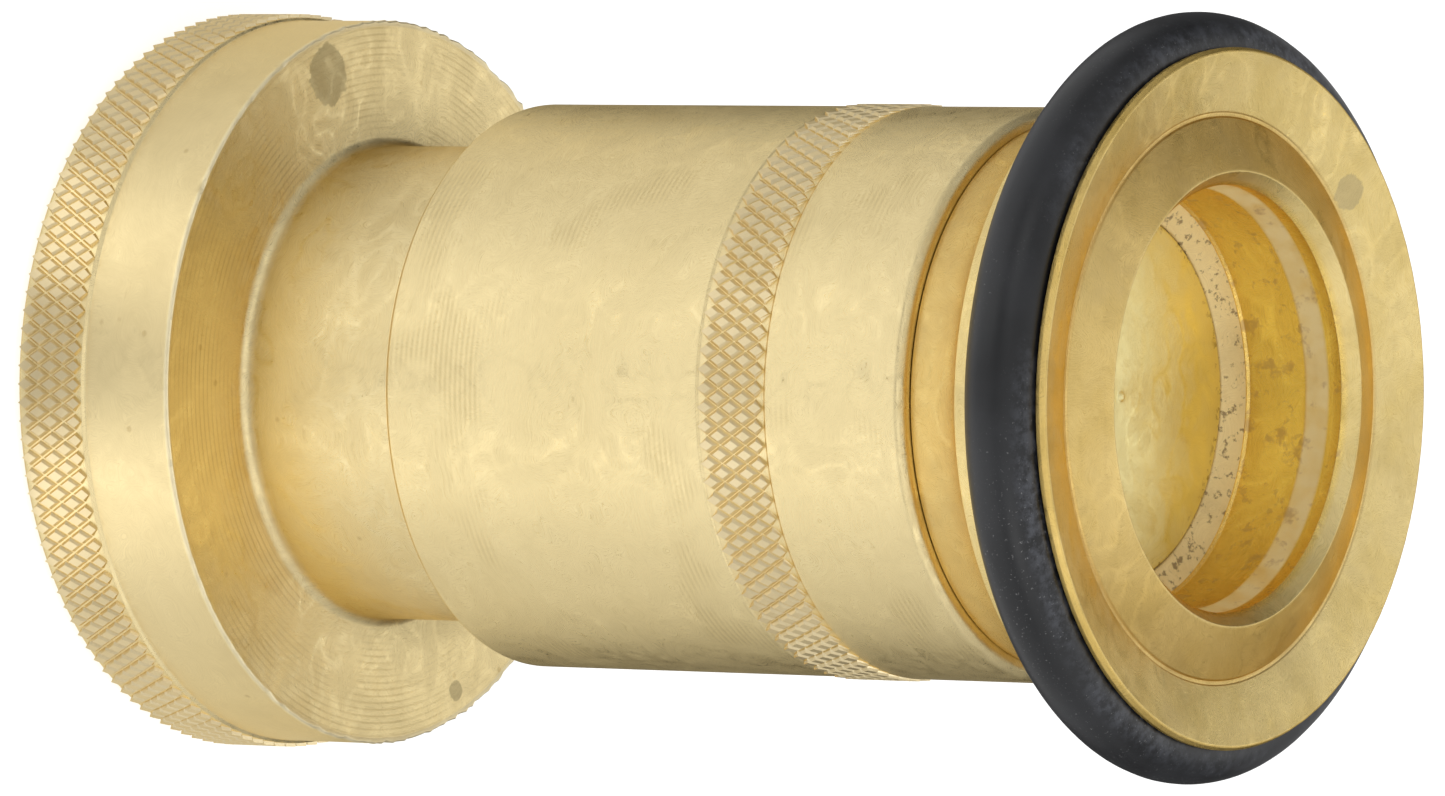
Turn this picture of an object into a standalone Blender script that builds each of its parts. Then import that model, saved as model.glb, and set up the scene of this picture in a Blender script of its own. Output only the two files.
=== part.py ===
# Adjustable fog nozzle for a fire hose, shown shut off.
# The axis is +Z: the inlet face stands on z = 0 and the tip points up.
# Lengths below are millimetres; MM turns them into metres.
import bpy
import bmesh
import math

MM = 0.001
SEG = 40                 # facets around every turned piece
HELIX_STEPS = 32         # straight steps in one turn of a thread
OFF_FACET = 0.043        # turns every thread a little, so no step lies on a facet's edge

# Driving dimensions
KNURL_R = 34.3           # knurled rim of the inlet flange
BAND_R = 33.65           # plain band in front of the rim
KNURL_TOP = 7.5
FLANGE_TOP = 17.1
NECK_R = 22.0            # smooth neck the sleeve slides over
NECK_TOP = 41.5
ROOT_R = 20.6            # nose and root of the drive thread
NOSE_TOP = 80.2
SOCKET_R = 25.6          # root of the hose thread in the inlet
SOCKET_TOP = 14.0
HOSE_CREST_R = 23.8
HOSE_PITCH = 2.822       # nine threads to the inch
WATERWAY_R = 17.0
WATERWAY_FRONT_R = 15.8
DRIVE_LEAD = 8.0         # travel of the sleeve in one turn
DRIVE_STARTS = 2
SLEEVE_R = 25.95
SLEEVE_REAR = 36.0
SLEEVE_FRONT = 92.9
SLEEVE_BORE_R = 22.35
CHAMBER_R = 21.0
SPIGOT_BORE_R = 23.6
BORE_R = 19.1            # outlet bore of the tip
BUMPER_R = 31.2          # middle of the rubber section
BUMPER_Z = 107.2
BUMPER_SECTION = 3.38
HEAD_R = 16.6
HEAD_TOP = 99.0
CLEARANCE = 0.3


def clear_scene():
    for obj in list(bpy.data.objects):
        bpy.data.objects.remove(obj, do_unlink=True)


def new_collection(name):
    group = bpy.data.collections.new(name)
    bpy.context.scene.collection.children.link(group)
    return group


def make_material(name, colour, metallic, roughness):
    mat = bpy.data.materials.new(name)
    mat.use_nodes = True
    shader = mat.node_tree.nodes["Principled BSDF"]
    shader.inputs["Base Color"].default_value = (colour[0], colour[1], colour[2], 1.0)
    shader.inputs["Metallic"].default_value = metallic
    shader.inputs["Roughness"].default_value = roughness
    mat.diffuse_color = (colour[0], colour[1], colour[2], 1.0)
    return mat


def mesh_object(name, verts, edges, faces, group):
    mesh = bpy.data.meshes.new(name)
    mesh.from_pydata(verts, edges, faces)
    mesh.update()
    obj = bpy.data.objects.new(name, mesh)
    group.objects.link(obj)
    return obj


def turned(name, profile, group, closed=True, seg=SEG):
    """Turn a profile of (radius, height) about Z. It runs down its outer side."""
    verts = [(r * MM, 0.0, z * MM) for r, z in profile]
    edges = [(i, i + 1) for i in range(len(verts) - 1)]
    if closed:
        edges.append((len(verts) - 1, 0))
    obj = mesh_object(name, verts, edges, [], group)
    screw = obj.modifiers.new("turn", "SCREW")
    screw.axis = "Z"
    screw.angle = 2 * math.pi
    screw.steps = seg
    screw.render_steps = seg
    screw.use_merge_vertices = True
    screw.merge_threshold = 0.00001
    screw.use_normal_calculate = False
    return obj


def arc(r0, z0, radius, start, end, count):
    """Points (radius, height) on a circle, angles in degrees."""
    points = []
    for i in range(count + 1):
        a = math.radians(start + (end - start) * i / count)
        points.append((r0 + radius * math.cos(a), z0 + radius * math.sin(a)))
    return points


def helix_ridge(name, starts, lead, z0, z1, root, crest, root_w, crest_w, group, phase=0.0):
    """Thread ridges swept along a right-hand helix, with run-outs at both ends."""
    bm = bmesh.new()
    turns = (z1 - z0) / lead
    count = int(round(turns * HELIX_STEPS))
    sink = 0.45 if crest > root else -0.45
    for s in range(starts):
        rings = []
        for i in range(count + 1):
            grow = min(1.0, i / 3, (count - i) / 3)
            top = root + (crest - root) * (0.06 + 0.94 * grow)
            a = 2 * math.pi * (i / HELIX_STEPS + s / starts) + phase + OFF_FACET
            z = z0 + lead * i / HELIX_STEPS
            section = [(root - sink, z - root_w / 2), (root - sink, z + root_w / 2),
                       (top, z + crest_w / 2), (top, z - crest_w / 2)]
            ring = []
            for r, h in section:
                ring.append(bm.verts.new((r * math.cos(a) * MM, r * math.sin(a) * MM, h * MM)))
            rings.append(ring)
        for lower, upper in zip(rings, rings[1:]):
            for k in range(4):
                n = (k + 1) % 4
                bm.faces.new((lower[k], lower[n], upper[n], upper[k]))
        bm.faces.new(rings[0])
        bm.faces.new(list(reversed(rings[-1])))
    bmesh.ops.recalc_face_normals(bm, faces=bm.faces)
    mesh = bpy.data.meshes.new(name)
    bm.to_mesh(mesh)
    bm.free()
    obj = bpy.data.objects.new(name, mesh)
    group.objects.link(obj)
    hide_cutter(obj)
    return obj


def hide_cutter(obj):
    obj.hide_render = True
    obj.display_type = "WIRE"


def box_cutter(name, centre, size, turn, group):
    """A box tool, turned about Z by an angle in degrees."""
    bpy.ops.mesh.primitive_cube_add(size=1.0)
    obj = bpy.context.active_object
    obj.name = name
    ca = math.cos(math.radians(turn))
    sa = math.sin(math.radians(turn))
    for v in obj.data.vertices:
        x = centre[0] + v.co.x * size[0]
        y = centre[1] + v.co.y * size[1]
        z = centre[2] + v.co.z * size[2]
        v.co = ((x * ca - y * sa) * MM, (x * sa + y * ca) * MM, z * MM)
    for owner in list(obj.users_collection):
        owner.objects.unlink(obj)
    group.objects.link(obj)
    hide_cutter(obj)
    return obj


def combine(obj, other, how):
    step = obj.modifiers.new(how.lower(), "BOOLEAN")
    step.operation = how
    step.solver = "EXACT"
    step.object = other


def paint(obj, mat):
    obj.data.materials.append(mat)


def build_inlet_body(group, cutters, mat):
    """Flange, neck and nose in one casting, with the hose socket in its base."""
    outer = [(19.8, NOSE_TOP), (ROOT_R, NOSE_TOP - 0.8),
             (ROOT_R, 79.2), (18.2, 79.2), (18.2, 75.4), (ROOT_R, 75.4),
             (ROOT_R, NECK_TOP + 0.9), (NECK_R - 0.5, NECK_TOP), (NECK_R, NECK_TOP - 0.5),
             (NECK_R, FLANGE_TOP + 0.9), (NECK_R + 0.25, FLANGE_TOP + 0.25),
             (NECK_R + 0.9, FLANGE_TOP),
             (BAND_R - 0.45, FLANGE_TOP), (BAND_R, FLANGE_TOP - 0.45),
             (BAND_R, KNURL_TOP), (KNURL_R - 0.2, KNURL_TOP - 0.1), (KNURL_R, KNURL_TOP - 0.4),
             (KNURL_R, 0.6), (KNURL_R - 0.6, 0.0)]
    inner = [(26.4, 0.0), (SOCKET_R, 0.8), (SOCKET_R, SOCKET_TOP), (WATERWAY_R, SOCKET_TOP),
             (WATERWAY_R, 17.9), (18.1, 17.9), (18.1, 20.0), (WATERWAY_R, 20.0),
             (WATERWAY_R, 28.0), (WATERWAY_FRONT_R, 28.6), (WATERWAY_FRONT_R, NOSE_TOP)]
    obj = turned("inlet_body", outer + inner, group)
    drive = helix_ridge("drive_thread_ridges", DRIVE_STARTS, DRIVE_LEAD, 54.0, 62.0,
                        ROOT_R, NECK_R, 2.5, 1.3, cutters)
    combine(obj, drive, "UNION")
    hose = helix_ridge("hose_thread_ridges", 1, HOSE_PITCH, 2.5, 9.5,
                       SOCKET_R, HOSE_CREST_R, 2.2, 0.5, cutters)
    combine(obj, hose, "UNION")
    paint(obj, mat)


def build_inlet_gasket(group, mat):
    profile = [(24.9, 13.7), (24.9, 11.2), (24.6, 10.9), (17.8, 10.9), (17.5, 11.2), (17.5, 13.7)]
    paint(turned("inlet_gasket", profile, group), mat)


def build_stem_spider(group, cutters, mat):
    """Hub that carries the stem on three legs inside the waterway."""
    ring = turned("stem_spider", [(16.7, 27.6), (16.7, 20.3), (14.6, 20.3), (14.6, 27.6)], group)
    hub = turned("spider_hub", [(7.0, 30.0), (7.0, 20.3), (4.3, 20.3), (4.3, 30.0)], cutters)
    hide_cutter(hub)
    combine(ring, hub, "UNION")
    for i in range(3):
        leg = box_cutter("spider_leg_%d" % (i + 1), (10.8, 0.0, 24.4), (8.9, 2.8, 5.6), 120 * i + 30, cutters)
        combine(ring, leg, "UNION")
    paint(ring, mat)


def build_spider_ring(group, cutters, mat):
    """Split ring in the waterway groove, behind the spider."""
    ring = turned("spider_ring", [(17.75, 19.7), (17.75, 18.2), (15.0, 18.2), (15.0, 19.7)], group)
    gap = box_cutter("spider_ring_gap", (16.5, 0.0, 19.0), (6.0, 5.0, 4.0), 90, cutters)
    combine(ring, gap, "DIFFERENCE")
    paint(ring, mat)


def build_stem_rod(group, mat):
    """Rod with a collar against the hub and a shoulder under the head."""
    profile = [(0.0, 97.5), (2.6, 97.5), (3.0, 97.1), (3.0, 91.2), (4.6, 91.2), (5.2, 90.6),
               (4.0, 86.0), (4.0, 33.6), (6.4, 32.9), (6.4, 30.3), (4.0, 30.3),
               (4.0, 12.4), (3.6, 12.0), (0.0, 12.0)]
    paint(turned("stem_rod", profile, group, closed=False, seg=24), mat)


def build_stem_washer(group, cutters, mat):
    ring = turned("stem_lock_washer", [(7.0, 20.0), (7.0, 18.8), (4.3, 18.8), (4.3, 20.0)],
                  group, seg=24)
    slit = box_cutter("washer_slit", (5.6, 0.0, 19.4), (4.0, 0.8, 3.0), 75, cutters)
    combine(ring, slit, "DIFFERENCE")
    paint(ring, mat)


def build_stem_nut(group, cutters, mat):
    """Hexagon nut, 13 mm across flats, at the rear end of the stem."""
    bpy.ops.mesh.primitive_cylinder_add(vertices=6, radius=7.505 * MM, depth=5.0 * MM,
                                        location=(0.0, 0.0, 0.0))
    nut = bpy.context.active_object
    nut.name = "stem_nut"
    for v in nut.data.vertices:
        v.co.z += 16.0 * MM
    for owner in list(nut.users_collection):
        owner.objects.unlink(nut)
    group.objects.link(nut)
    hole = turned("nut_hole", [(0.0, 20.0), (4.3, 20.0), (4.3, 12.0), (0.0, 12.0)],
                  cutters, closed=False, seg=24)
    hide_cutter(hole)
    combine(nut, hole, "DIFFERENCE")
    paint(nut, mat)


def build_nose_seal(group, mat):
    section = arc(19.6, 76.9, 1.15, 90, -270, 10)[:-1]
    paint(turned("nose_seal", section, group), mat)


def build_nose_backup_ring(group, mat):
    profile = [(20.5, 78.9), (20.5, 78.3), (18.5, 78.3), (18.5, 78.9)]
    paint(turned("nose_backup_ring", profile, group), mat)


def build_stem_head(group, mat):
    """Flat deflector disc that plugs the throat, with a small turning pip."""
    profile = [(0.0, 99.35), (0.25, 99.3), (0.6, HEAD_TOP), (HEAD_R - 0.2, HEAD_TOP),
               (HEAD_R, HEAD_TOP - 0.2), (HEAD_R, 97.3), (6.0, 97.3), (6.0, 95.3),
               (3.3, 95.3), (3.3, 97.9), (0.0, 97.9)]
    paint(turned("stem_head", profile, group, closed=False), mat)


def build_head_seal(group, mat):
    profile = [(16.4, 97.0), (14.6, 95.2), (6.3, 95.2), (6.3, 97.0)]
    paint(turned("head_seal", profile, group), mat)


def build_seal_retainer(group, mat):
    profile = [(13.4, 94.9), (13.4, 94.1), (7.0, 91.5), (3.3, 91.5), (3.3, 94.9)]
    paint(turned("seal_retainer", profile, group), mat)


def build_sleeve_wiper(group, mat):
    """Seal ring in the groove at the sleeve's rear end, around the neck."""
    profile = [(23.7, 40.3), (23.7, 38.0), (22.5, 38.0), (22.3, 38.4), (22.3, 39.9), (22.5, 40.3)]
    paint(turned("sleeve_wiper", profile, group), mat)


def build_sleeve_barrel(group, cutters, mat):
    """Knurled tube with the drive thread, a wiper groove and a socket for the tip."""
    outer = [(25.3, SLEEVE_FRONT), (SLEEVE_R, SLEEVE_FRONT - 0.7),
             (SLEEVE_R, 78.05), (26.2, 77.9), (26.2, 70.9), (SLEEVE_R, 70.75),
             (SLEEVE_R, SLEEVE_REAR + 0.4), (SLEEVE_R - 0.4, SLEEVE_REAR)]
    inner = [(SLEEVE_BORE_R + 0.4, SLEEVE_REAR), (SLEEVE_BORE_R, SLEEVE_REAR + 0.4),
             (SLEEVE_BORE_R, 37.7), (24.0, 37.7), (24.0, 40.6), (SLEEVE_BORE_R, 40.6),
             (SLEEVE_BORE_R, 74.3), (CHAMBER_R, 75.0), (CHAMBER_R, 84.0),
             (SPIGOT_BORE_R, 84.0), (SPIGOT_BORE_R, SLEEVE_FRONT)]
    obj = turned("sleeve_barrel", outer + inner, group)
    ridges = helix_ridge("sleeve_thread_ridges", DRIVE_STARTS, DRIVE_LEAD, 54.0, 72.75,
                         SLEEVE_BORE_R, CHAMBER_R, 2.3, 1.2, cutters, phase=math.pi / 2)
    combine(obj, ridges, "UNION")
    paint(obj, mat)


def build_tip(group, mat):
    """Flared outlet tip: front rim with a V face, bumper groove, cove and spigot."""
    rim = [(20.3, 111.73), (25.3, 109.88), (25.65, 109.88), (30.96, 111.66), (31.16, 111.59)]
    groove = arc(BUMPER_R, BUMPER_Z, BUMPER_SECTION + CLEARANCE + 0.02, 87.5, 232, 12)
    cove = [(28.92, 100.6), (28.75, 100.4), (27.75, 100.2), (26.7, 99.5), (25.9, 98.5),
            (25.18, 97.0), (24.75, 95.3), (24.6, 93.8), (24.6, 93.2), (23.3, 93.2),
            (23.3, 86.0), (22.9, 85.6)]
    inner = [(CHAMBER_R, 85.6), (CHAMBER_R, 92.7), (15.2, 93.0), (15.2, 95.0), (BORE_R, 95.0),
             (BORE_R, 110.33)]
    paint(turned("tip", rim + groove + cove + inner, group), mat)


def build_tip_gasket(group, mat):
    profile = [(23.3, 85.3), (23.3, 84.3), (21.3, 84.3), (21.3, 85.3)]
    paint(turned("tip_gasket", profile, group), mat)


def build_throat_seat(group, mat):
    """Seat ring dropped into the tip from the front, around the head's edge."""
    profile = [(18.8, 100.3), (18.8, 96.4), (16.4, 96.4), (16.9, 97.1), (16.9, 98.95)]
    paint(turned("throat_seat", profile, group), mat)


def build_seat_gasket(group, mat):
    profile = [(18.8, 96.1), (18.8, 95.3), (16.3, 95.3), (16.3, 96.1)]
    paint(turned("seat_gasket", profile, group), mat)


def build_bumper_ring(group, mat):
    section = arc(BUMPER_R, BUMPER_Z, BUMPER_SECTION, 90, -270, 18)[:-1]
    paint(turned("bumper_ring", section, group), mat)


def build_nozzle():
    clear_scene()
    parts = new_collection("fire_hose_nozzle")
    cutters = new_collection("cutters")
    cutters.hide_render = True
    brass = {}
    for name in ("inlet_body", "stem_spider", "stem_rod", "stem_nut", "stem_head",
                 "seal_retainer", "sleeve_barrel", "tip", "throat_seat"):
        brass[name] = make_material(name, (0.80, 0.66, 0.36), 1.0, 0.35)
    rubber = {}
    for name in ("inlet_gasket", "nose_seal", "head_seal", "sleeve_wiper", "bumper_ring",
                 "tip_gasket", "seat_gasket"):
        rubber[name] = make_material(name, (0.03, 0.03, 0.03), 0.0, 0.7)
    steel = make_material("spider_ring", (0.60, 0.60, 0.62), 1.0, 0.3)
    washer = make_material("stem_lock_washer", (0.62, 0.62, 0.64), 1.0, 0.35)
    backup = make_material("nose_backup_ring", (0.85, 0.84, 0.80), 0.0, 0.4)
    build_inlet_body(parts, cutters, brass["inlet_body"])
    build_inlet_gasket(parts, rubber["inlet_gasket"])
    build_stem_spider(parts, cutters, brass["stem_spider"])
    build_spider_ring(parts, cutters, steel)
    build_stem_rod(parts, brass["stem_rod"])
    build_stem_washer(parts, cutters, washer)
    build_stem_nut(parts, cutters, brass["stem_nut"])
    build_nose_seal(parts, rubber["nose_seal"])
    build_nose_backup_ring(parts, backup)
    build_stem_head(parts, brass["stem_head"])
    build_head_seal(parts, rubber["head_seal"])
    build_seal_retainer(parts, brass["seal_retainer"])
    build_sleeve_wiper(parts, rubber["sleeve_wiper"])
    build_sleeve_barrel(parts, cutters, brass["sleeve_barrel"])
    build_tip(parts, brass["tip"])
    build_tip_gasket(parts, rubber["tip_gasket"])
    build_throat_seat(parts, brass["throat_seat"])
    build_seat_gasket(parts, rubber["seat_gasket"])
    build_bumper_ring(parts, rubber["bumper_ring"])


build_nozzle()
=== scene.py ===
# %% [markdown]
# # A brass fog nozzle for a fire hose
# The imported model gives every piece its real place and size in metres. This lesson turns
# the visible pieces again in much finer steps, rolls their knurls, and gives each one a
# finish of its own. The imported pieces keep their places.

# %% Load the frame
import math

import bmesh
import bpy
from mathutils import Matrix, Vector, noise


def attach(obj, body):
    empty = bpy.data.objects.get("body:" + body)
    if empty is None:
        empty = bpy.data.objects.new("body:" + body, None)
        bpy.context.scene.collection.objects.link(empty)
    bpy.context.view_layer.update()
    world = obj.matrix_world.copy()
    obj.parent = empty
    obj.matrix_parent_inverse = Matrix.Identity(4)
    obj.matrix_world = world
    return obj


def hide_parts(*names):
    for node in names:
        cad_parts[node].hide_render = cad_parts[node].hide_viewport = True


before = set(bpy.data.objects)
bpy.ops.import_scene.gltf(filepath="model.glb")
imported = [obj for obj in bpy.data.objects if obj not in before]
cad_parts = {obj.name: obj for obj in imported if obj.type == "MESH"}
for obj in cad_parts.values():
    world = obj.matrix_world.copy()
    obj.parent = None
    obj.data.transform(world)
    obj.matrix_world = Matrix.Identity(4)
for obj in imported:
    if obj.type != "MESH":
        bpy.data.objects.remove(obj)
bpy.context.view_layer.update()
MM = 0.001

# %% [markdown]
# The camera stands about 35 degrees above the nozzle and is rolled a quarter turn, so
# the standing nozzle lies across the view. BACK points from the nozzle to the camera, UP
# and RIGHT are the edges of the frame, and tip_in_view is where the tip's middle stands
# from the camera, in metres. A long lens keeps both ends of the nozzle close to their
# true proportions.

# %% Camera
BACK = Vector((0.0, -0.819237, 0.573465))
UP = Vector((-0.999795, -0.011619, -0.016604))
UP = (UP - BACK * UP.dot(BACK)).normalized()
RIGHT = UP.cross(BACK).normalized()
TIP_Z = 111.73
turn = Matrix((RIGHT, UP, BACK)).transposed()
tip_in_view = Vector((0.046112, -0.000095, -1.217174))
eye = Vector((0.0, 0.0, TIP_Z * MM)) - turn @ tip_in_view
camera_data = bpy.data.cameras.new("studio_camera")
camera_data.lens = 340.07
camera_data.sensor_width = 36.0
camera_data.clip_start = 0.05
camera_data.clip_end = 20.0
camera = bpy.data.objects.new("studio_camera", camera_data)
camera.matrix_world = Matrix.Translation(eye) @ turn.to_4x4()
bpy.context.scene.collection.objects.link(camera)
bpy.context.scene.camera = camera
bpy.context.scene.view_settings.view_transform = "Standard"
print("camera at", [round(v, 3) for v in eye])

# %% [markdown]
# Materials, light and knurls are all made of nodes, and nodes are wired in Python here.
# A few short helpers keep the recipes readable: one makes a node with its plain inputs
# set by number, one joins two sockets, and the others split a vector, join one, and
# turn a list of places and values into a colour ramp.

# %% Node helpers
def add(tree, kind, **sockets):
    """One shader or geometry node with its plain inputs set by name or number."""
    node = tree.nodes.new(kind)
    for key, value in sockets.items():
        if key[0] == "i" and key[1:].isdigit():
            node.inputs[int(key[1:])].default_value = value
        else:
            setattr(node, key, value)
    return node


def wire(tree, out, into):
    tree.links.new(out, into)


def split_xyz(tree, vector):
    node = add(tree, "ShaderNodeSeparateXYZ")
    wire(tree, vector, node.inputs[0])
    return node.outputs


def join_xyz(tree, *parts):
    node = add(tree, "ShaderNodeCombineXYZ")
    for part, socket in zip(parts, node.inputs):
        wire(tree, part, socket)
    return node.outputs[0]


def ramp(tree, stops, source, smooth="EASE"):
    """A colour ramp from a list of (place, value or colour)."""
    node = tree.nodes.new("ShaderNodeValToRGB")
    node.color_ramp.interpolation = smooth
    marks = node.color_ramp.elements
    while len(marks) < len(stops):
        marks.new(0.5)
    for mark, (place, value) in zip(marks, stops):
        mark.position = place
        colour = value if isinstance(value, tuple) else (value, value, value)
        mark.color = (*colour, 1.0)
    wire(tree, source, node.inputs["Fac"])
    return node.outputs["Color"]


print("node helpers", [tool.__name__ for tool in (add, wire, split_xyz, join_xyz, ramp)])

# %% [markdown]
# The nozzle's walls lean away from the camera, so they mirror the floor in front of
# them and not the lamps. The floor is therefore lit like a light table: in reflections
# it carries two soft bright strips towards the camera and a darker sector on each side,
# which draws the round walls' edges. Right under the nozzle it mirrors evenly, so that
# no pattern shows on the inlet's face.

# %% Floor glow
# Degrees round the nozzle, with 0 towards the camera, and the glow seen in reflections.
STRIPS = [(-180, 0.62), (-164, 0.55), (-152, 0.10), (-127, 0.10), (-114, 0.74),
          (-70, 0.76), (-44, 0.80), (-32, 1.30), (-21, 1.30), (-10, 0.60), (4, 0.58),
          (14, 1.36), (27, 1.36), (42, 0.84), (66, 0.76), (104, 0.70), (116, 0.08),
          (152, 0.08), (164, 0.55), (180, 0.62)]
EVEN_GLOW = 0.80
EVEN_EDGE_M = (0.0346, 0.0366)


def floor_glow(tree):
    """What the floor shows in reflections: strips by angle, even under the nozzle."""
    where = add(tree, "ShaderNodeTexCoord").outputs["Object"]
    x, y, _ = split_xyz(tree, where)
    away = add(tree, "ShaderNodeMath", operation="MULTIPLY", i1=-1.0)
    wire(tree, y, away.inputs[0])
    angle = add(tree, "ShaderNodeMath", operation="ARCTAN2")
    wire(tree, x, angle.inputs[0])
    wire(tree, away.outputs[0], angle.inputs[1])
    share = add(tree, "ShaderNodeMapRange", i1=-math.pi, i2=math.pi)
    wire(tree, angle.outputs[0], share.inputs["Value"])
    strips = ramp(tree, [((a + 180) / 360, v) for a, v in STRIPS], share.outputs[0])
    reach = add(tree, "ShaderNodeVectorMath", operation="LENGTH")
    wire(tree, where, reach.inputs[0])
    beyond = add(tree, "ShaderNodeMapRange", i1=EVEN_EDGE_M[0], i2=EVEN_EDGE_M[1])
    wire(tree, reach.outputs["Value"], beyond.inputs["Value"])
    pattern = add(tree, "ShaderNodeMix", data_type="RGBA")
    pattern.inputs[6].default_value = (EVEN_GLOW, EVEN_GLOW, EVEN_GLOW, 1.0)
    wire(tree, beyond.outputs[0], pattern.inputs[0])
    wire(tree, strips, pattern.inputs[7])
    glow = add(tree, "ShaderNodeEmission")
    wire(tree, pattern.outputs[2], glow.inputs["Color"])
    return glow.outputs[0]


print("floor strips", len(STRIPS), "stops, even within", EVEN_EDGE_M[0], "m")

# %% [markdown]
# To the eye the floor is plain and pale, so a Light Path node swaps the glow in only
# for reflected rays. It lies a hair below the nozzle, since two faces in one plane
# flicker, and it is clear from below, so that the inlet can be looked into.

# %% Floor
FLOOR_HALF_SIZE = 4.0
FLOOR_DROP = 0.2 * MM
FLOOR_LIGHT = 0.62


def floor_paint():
    paint = bpy.data.materials.new("studio_floor")
    paint.use_nodes = True
    tree = paint.node_tree
    shader = tree.nodes["Principled BSDF"]
    shader.inputs["Base Color"].default_value = (0.80, 0.80, 0.80, 1.0)
    shader.inputs["Emission Color"].default_value = (1.0, 1.0, 1.0, 1.0)
    shader.inputs["Emission Strength"].default_value = FLOOR_LIGHT
    shader.inputs["Roughness"].default_value = 0.9
    shader.inputs["Specular IOR Level"].default_value = 0.1
    mirrored = add(tree, "ShaderNodeLightPath").outputs["Is Glossy Ray"]
    below = add(tree, "ShaderNodeNewGeometry").outputs["Backfacing"]
    clear = add(tree, "ShaderNodeBsdfTransparent").outputs[0]
    face = shader.outputs[0]
    for share, other in ((mirrored, floor_glow(tree)), (below, clear)):
        mix = add(tree, "ShaderNodeMixShader")
        wire(tree, share, mix.inputs[0])
        wire(tree, face, mix.inputs[1])
        wire(tree, other, mix.inputs[2])
        face = mix.outputs[0]
    wire(tree, face, tree.nodes["Material Output"].inputs["Surface"])
    return paint


def make_floor():
    bm = bmesh.new()
    bmesh.ops.create_grid(bm, x_segments=4, y_segments=4, size=FLOOR_HALF_SIZE)
    bmesh.ops.translate(bm, verts=bm.verts, vec=(0.0, 0.0, -FLOOR_DROP))
    mesh = bpy.data.meshes.new("studio_floor")
    bm.to_mesh(mesh)
    bm.free()
    floor = bpy.data.objects.new("studio_floor", mesh)
    bpy.context.scene.collection.objects.link(floor)
    mesh.materials.append(floor_paint())


make_floor()
print("floor half size", FLOOR_HALF_SIZE, "m, dropped", FLOOR_DROP, "m")

# %% [markdown]
# The air all round is white to the eye. In reflections it is darker low down and on one
# side, and two dark patches stand behind the nozzle, like the black flags that product
# studios use. The tip's sloping faces mirror them as darker sectors.

# %% Air
AIR = [(0.0, 0.46), (0.25, 0.55), (0.5, 0.72), (0.8, 0.84), (1.0, 0.84)]
DIM_SIDE, BRIGHT_SIDE = 0.70, 1.22
FLAG_X, FLAG_Y, FLAG_Z = 0.646, 0.718, 0.259
FLAG_EDGE, FLAG_CORE = (math.cos(math.radians(a)) for a in (26, 12))
FLAG_LEVEL = 0.12


def air_layers(tree, heading, x):
    """Shares that dim the air: one from side to side, and one for each dark patch."""
    lean = add(tree, "ShaderNodeMapRange", i1=-0.5, i2=0.5, i3=DIM_SIDE, i4=BRIGHT_SIDE)
    wire(tree, x, lean.inputs["Value"])
    layers = [lean.outputs[0]]
    for side in (-1, 1):
        flag = add(tree, "ShaderNodeVectorMath", operation="DOT_PRODUCT",
                   i1=Vector((FLAG_X * side, FLAG_Y, FLAG_Z)).normalized())
        wire(tree, heading, flag.inputs[0])
        fade = add(tree, "ShaderNodeMapRange", interpolation_type="SMOOTHSTEP",
                   i1=FLAG_EDGE, i2=FLAG_CORE, i3=1.0, i4=FLAG_LEVEL)
        wire(tree, flag.outputs["Value"], fade.inputs["Value"])
        layers.append(fade.outputs[0])
    return layers


def make_air():
    world = bpy.data.worlds.new("studio_air")
    world.use_nodes = True
    tree = world.node_tree
    heading = add(tree, "ShaderNodeTexCoord").outputs["Generated"]
    x, _, z = split_xyz(tree, heading)
    shade = ramp(tree, AIR, z, "LINEAR")
    for layer in air_layers(tree, heading, x):
        dimmed = add(tree, "ShaderNodeVectorMath", operation="MULTIPLY")
        wire(tree, shade, dimmed.inputs[0])
        wire(tree, layer, dimmed.inputs[1])
        shade = dimmed.outputs[0]
    seen = add(tree, "ShaderNodeMix", data_type="RGBA")
    seen.inputs[7].default_value = (1.0, 1.0, 1.0, 1.0)
    wire(tree, add(tree, "ShaderNodeLightPath").outputs["Is Camera Ray"], seen.inputs[0])
    wire(tree, shade, seen.inputs[6])
    wire(tree, seen.outputs[2], tree.nodes["Background"].inputs["Color"])
    bpy.context.scene.world = world
    print("air nodes", len(tree.nodes))


make_air()

# %% [markdown]
# Three soft boxes finish the light, one on each side and one above and behind. The
# tip's face and the flange's face look up, so they mirror the one behind.

# %% Lamps
def soft_box(name, place, aim, size, power):
    data = bpy.data.lights.new(name, "AREA")
    data.shape = "RECTANGLE"
    data.size = size[0]
    data.size_y = size[1]
    data.energy = power
    lamp = bpy.data.objects.new(name, data)
    lamp.location = place
    facing = (Vector(aim) - Vector(place)).to_track_quat("-Z", "Y")
    lamp.rotation_euler = facing.to_euler()
    bpy.context.scene.collection.objects.link(lamp)
    print(name, power, "W")


soft_box("box_left", (-0.8, -0.9, 0.8), (0, 0, 0.05), (0.6, 0.6), 1.2)
soft_box("box_right", (0.8, -0.9, 0.8), (0, 0, 0.05), (0.6, 0.6), 1.2)
soft_box("box_behind", (0.0, 0.9, 1.0), (0, 0, 0.06), (0.9, 0.5), 0.8)

# %% [markdown]
# Nearly every piece of the nozzle comes off a lathe, so it starts as a profile: a list
# of radius and height in millimetres, down the outside and back up the bore. Real
# corners are never sharp, so each corner is first rounded a little, and the rounded
# corner is what catches the light. A Bevel modifier could do it too, but a cut for each
# corner is easier to give in the list.

# %% Profiles
CORNER_STEPS = 4


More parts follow.
